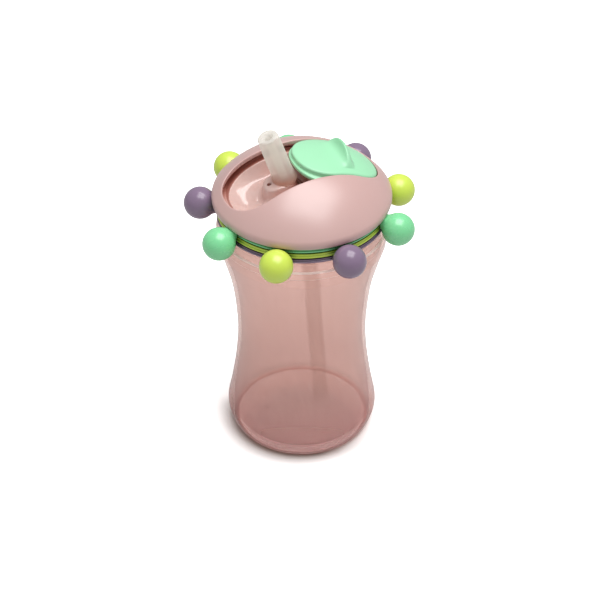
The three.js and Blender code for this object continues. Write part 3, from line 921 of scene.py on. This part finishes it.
def lid_gasket():
    low, high = corners("lid_gasket")
    outer, inner = high.x, GASKET_BORE
    section = [(inner, low.z, 0.3), (outer, low.z, 0.3), (outer, high.z, 0.5), (inner, high.z, 0.5)]
    piece = turned("seal_ring", rounded(section, 4, True), closed=True)
    dress(piece, "gasket", "lid_gasket", "seal_white", look["seal"])


# ---------------------------------------------------------------- bead rings

def hoop_shell(name, bottom, top):
    """A hoop with a groove round its outside."""
    radius, bore = HOOP["radius"], HOOP["bore"]
    groove = radius - HOOP["groove"]
    section = rounded([
        (bore, bottom, 0.3),
        (radius, bottom, 0.25),
        (radius, bottom + 0.75, 0.15),
        (groove, bottom + 1.05, 0.3),
        (groove, top - 0.55, 0.3),
        (radius, top - 0.3, 0.12),
        (radius, top, 0.12),
        (bore, top, 0.3),
    ], 4, True)
    return turned(name, section, closed=True)


def bead_shell(name, place):
    """A ball with a neck toward the hoops and a socket for the peg."""
    radius, neck, neck_end = BEAD["radius"], BEAD["neck"], BEAD["neck_end"]
    start = math.radians(BEAD["neck_start"])
    turns = [lerp(math.pi, start, k / 48) for k in range(49)]
    ball = [(radius * math.sin(a), radius * math.cos(a)) for a in turns]
    r0, z0 = ball[-1]
    shares = [k / 10 for k in range(1, 11)]
    flare = [(lerp(r0, neck + 0.05, 1 - (1 - t) ** 2), lerp(z0, radius + 1.0, t)) for t in shares]
    socket, socket_end = BEAD["socket"], BEAD["socket_end"]
    inside = [(neck, neck_end), (socket, neck_end), (socket, socket_end), (0, socket_end)]
    return turned(name, [(0, -radius)] + ball[1:] + flare + inside, steps=72, place=place)


def core():
    """The space of the cup, the hoops and the dome, which a bead's neck is cut back to."""
    low, high = CORE["shoulder"], CORE["dome_edge"]
    return turned("core", [
        (0, low - 2.9),
        (CORE["cup"], low - 2.9),
        (CORE["cup"], low),
        (CORE["hoops"], low + 0.05),
        (CORE["hoops"], high),
        (CORE["dome"], high + 0.05),
        (CORE["dome"], high + 3.1),
        (0, high + 3.1),
    ], steps=256)


def bead_ring(colour, bottom, top):
    body = f"ring_{colour}_body"
    nodes = [f"bead_{colour}_{i}" for i in (1, 2, 3)]
    centres = [sum(corners(node), Vector((0, 0, 0))) / 2 for node in nodes]
    circle_r = sum(math.hypot(c.x, c.y) for c in centres) / 3
    hoop = hoop_shell("hoop_" + colour, bottom, top)
    # Each peg slopes from its bead to the middle of the hoop's height.
    run, rise = circle_r - PEG["end"], (bottom + top) / 2 - BEAD_Z
    slope = Matrix.Rotation(math.atan2(rise, run), 4, "Y") @ Matrix.Rotation(-math.pi / 2, 4, "Y")
    start, end = PEG["start"], math.hypot(run, rise)
    pegs = []
    for i, (node, centre) in enumerate(zip(nodes, centres), 1):
        turn = math.atan2(centre.y, centre.x)
        middle = (circle_r * math.cos(turn), circle_r * math.sin(turn), BEAD_Z)
        place = Matrix.Translation(middle) @ Matrix.Rotation(turn, 4, "Z") @ slope
        profile = [(0, start), (PEG["radius"], start), (PEG["radius"], end), (0, end)]
        pegs.append(turned("peg", profile, steps=24, place=place))
        bead = bead_shell(f"ball_{colour}_{i}", place)
        combined(bead, [core()], "DIFFERENCE")
        dress(bead, body, node, colour, look[colour])
    combined(hoop, pegs, "UNION")
    dress(hoop, body, "ring_" + colour, colour, look[colour + "_hoop"])


# ---------------------------------------------------------------- floor, light and camera

def floor():
    """A white sweep. The viewer sees its painted contact shadow and the pink light painted under the cup,
    and what it throws back is plainer, though painted dark pink under the cup.
    """
    n = Nodes("white_sweep")
    where = n.spot()

    def fade(value, start, end, high=1.0):
        return n.ramp(value, start * MM, end * MM, 0.0, high)

    def shader(kind, colour, **inputs):
        return n.add(kind, {"Color": colour, **inputs}).outputs[0]

    # The painted contact shadow. Behind the cup, away from the viewer, it is lost in the cup's own haze.
    # It is also weaker on the side the light comes from.
    contact = n.ramp(n.open_sky(12.0, 8), 0.35, 0.85)
    viewer = n.add("ShaderNodeNewGeometry").outputs["Incoming"]
    lost = fade(n.vector_value("DOT_PRODUCT", where, viewer), 0.0, -10.0)
    faint = fade(n.vector_value("DOT_PRODUCT", where, LIGHT_SIDE), 8.0, 36.0, 0.85)
    either = n.calculated("MAXIMUM", faint, lost)
    white = n.mixed(n.calculated("MAXIMUM", contact, either), PAINTED_SHADOW_GREY, (1.8, 1.8, 1.8))
    # Painted light: under the cup the floor is painted with the pink light that has come through the tinted
    # foot, brighter further out.
    reach = n.vector_value("DISTANCE", where, Vector(FOOT_GLOW) * MM)
    foot = n.mixed(fade(reach, 23.0, 43.0), (1.10, 0.24, 0.36), (6.5, 6.9, 6.9))
    outside = n.vector_value("DISTANCE", where, (0, 0, 0))
    front, back = fade(outside, 30.5, 32.5), fade(outside, 22.0, 36.0)
    paint = n.mixed(n.between(lost, front, back), foot, white)
    # Far off, the floor fades into the bright surroundings.
    haze = shader("ShaderNodeEmission", (1, 1, 1, 1), Strength=fade(outside, 150.0, 700.0, 1.1))
    seen = n.add("ShaderNodeAddShader", {0: shader("ShaderNodeBsdfDiffuse", paint), 1: haze}).outputs[0]
    pale = n.mixed(n.noise(3), (0.72, 0.72, 0.72), (0.74, 0.74, 0.74))
    # Painted shade: under the cup the floor throws back a dark pink.
    thrown_back = n.mixed(fade(outside, 29.0, 33.0), (0.22, 0.07, 0.08), pale)
    looking = n.add("ShaderNodeLightPath").outputs["Is Camera Ray"]
    material = n.finish(n.shader_mix(looking, shader("ShaderNodeBsdfDiffuse", thrown_back), seen))
    edge = [(x * FLOOR_REACH, y * FLOOR_REACH, 0) for x, y in ((-1, -1), (1, -1), (1, 1), (-1, 1))]
    piece = skin("studio_floor", [edge, [(0, 0, 0)]])
    piece.data.materials.append(material)


def stand(name, thing, place, aim):
    """Puts a light or a camera in the scene, turned to what it aims at."""
    holder = bpy.data.objects.new(name, thing)
    holder.location = place
    holder.rotation_euler = (Vector(aim) - Vector(place)).to_track_quat("-Z", "Y").to_euler()
    bpy.context.scene.collection.objects.link(holder)
    return holder


def softbox():
    light = bpy.data.lights.new("overhead_softbox", "AREA")
    light.shape = "SQUARE"
    light.size = SOFTBOX["size"]
    light.energy = SOFTBOX["power"]
    stand("overhead_softbox", light, SOFTBOX["place"], SOFTBOX["aim"])


def camera():
    view = bpy.data.cameras.new("camera")
    view.sensor_width = 36
    view.lens = CAMERA["lens"]
    view.clip_start = 0.01
    bpy.context.scene.camera = stand("camera", view, CAMERA["place"], CAMERA["aim"])


def world():
    """Soft light from all round, and a brighter backdrop that only the viewer sees."""
    sky = bpy.data.worlds.new("studio")
    sky.use_nodes = True
    tree = sky.node_tree
    mix = tree.nodes.new("ShaderNodeMixShader")
    around_light = tree.nodes["Background"]
    backdrop = tree.nodes.new("ShaderNodeBackground")
    for node, strength, socket in ((around_light, SKY_LIGHT, 1), (backdrop, BACKDROP_LIGHT, 2)):
        node.inputs["Color"].default_value = (1, 1, 1, 1)
        node.inputs["Strength"].default_value = strength
        tree.links.new(node.outputs[0], mix.inputs[socket])
    looking = tree.nodes.new("ShaderNodeLightPath")
    tree.links.new(looking.outputs["Is Camera Ray"], mix.inputs[0])
    tree.links.new(mix.outputs[0], tree.nodes["World Output"].inputs["Surface"])
    bpy.context.scene.world = sky


# ---------------------------------------------------------------- the whole object

cup_body()
lid_dome()
lid_base()
slide_cover()
straw_spout()
straw_tube()
vent_valve()
lid_gasket()
for colour_name, heights in HOOP_HEIGHTS.items():
    bead_ring(colour_name, *heights)

floor()
world()
camera()
softbox()
bpy.context.scene.view_settings.view_transform = "Standard"
bpy.context.scene.cycles.transparent_max_bounces = 32
